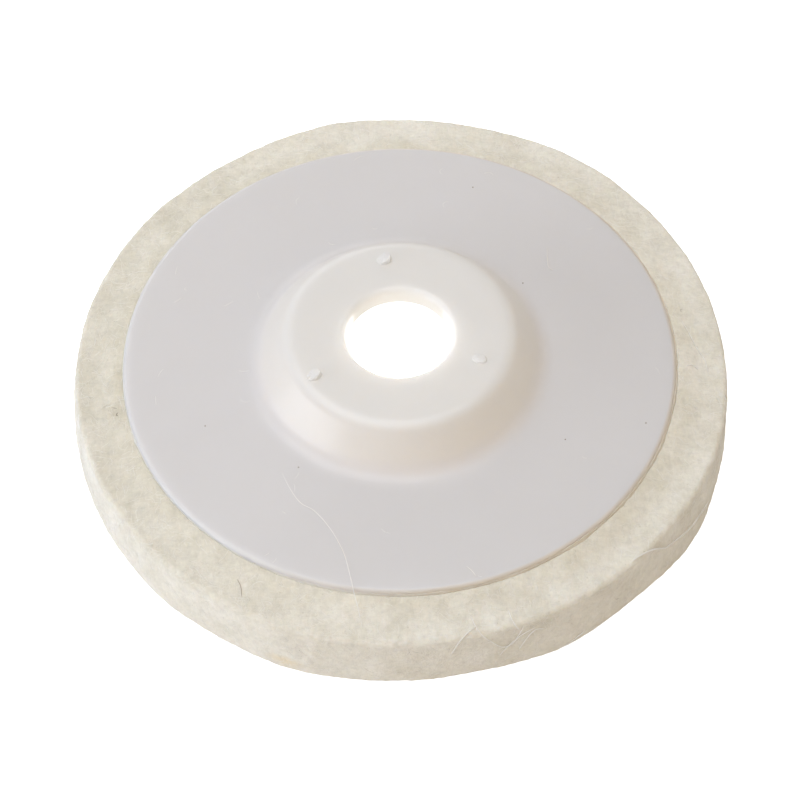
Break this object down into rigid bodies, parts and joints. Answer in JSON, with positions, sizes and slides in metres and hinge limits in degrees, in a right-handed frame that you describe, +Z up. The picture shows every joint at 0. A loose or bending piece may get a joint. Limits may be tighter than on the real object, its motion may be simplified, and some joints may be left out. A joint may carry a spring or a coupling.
{
  "type": "felt polishing wheel",
  "caption": "Wool-felt polishing disc on a white moulded plastic backing plate with a raised hollow conical hub and central arbor bore, for a small angle grinder.",
  "frame": {"origin": "centre of the felt's flat working face, which the wheel lies on", "axes": "+Z up along the bore axis, from the felt's working face towards the hub's top face; the wheel is round, so X and Y only place the three gate nubs, one of which is near +Y"},
  "size_m": [0.1022, 0.1022, 0.0185],
  "materials": {
    "wool_felt": "pressed wool felt, cream, matt and fibrous",
    "white_plastic": "as moulded, satin, slightly translucent",
    "cured_adhesive": "cured tan adhesive"
  },
  "bodies": {
    "root": {"felt_ring": "wool_felt", "backing_plate": "white_plastic", "adhesive_layer": "cured_adhesive"}
  },
  "joints": []
}
